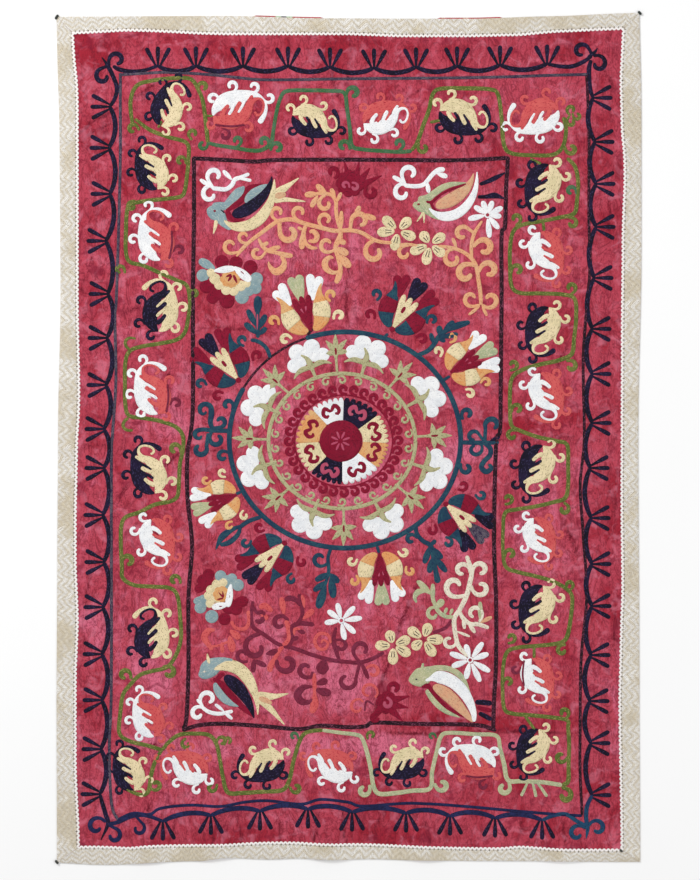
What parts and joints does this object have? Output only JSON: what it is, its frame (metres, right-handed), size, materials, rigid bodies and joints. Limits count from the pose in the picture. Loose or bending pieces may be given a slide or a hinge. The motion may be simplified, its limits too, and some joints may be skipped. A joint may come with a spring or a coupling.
{
  "type": "embroidered silk wall cloth",
  "caption": "Rectangular embroidered cloth with a lining, mitred brocade binding and zigzag trim, laid out flat and face up.",
  "frame": {"origin": "centre of the outline, on the surface that the cloth lies on", "axes": "+Z out of the embroidered face, +Y to the cloth's top edge, +X to its right edge seen from the face"},
  "size_m": [1.456, 2.122, 0.009],
  "materials": {
    "dyed_cotton": "matt plain weave, crimson dye faded unevenly to rose",
    "printed_cotton": "matt printed plain weave, red with pale green and dark patches",
    "brocade": "satin zigzag brocade in ivory, beige and dull gold",
    "braid": "matt white cotton braid",
    "silk_thread": "silk chain stitch with a soft sheen"
  },
  "bodies": {
    "root": {"lining": "printed_cotton", "ground_cloth": "dyed_cotton", "binding_top": "brocade", "binding_bottom": "brocade", "binding_left": "brocade", "binding_right": "brocade", "trim_top": "braid", "trim_bottom": "braid", "trim_left": "braid", "trim_right": "braid"}
  },
  "joints": []
}
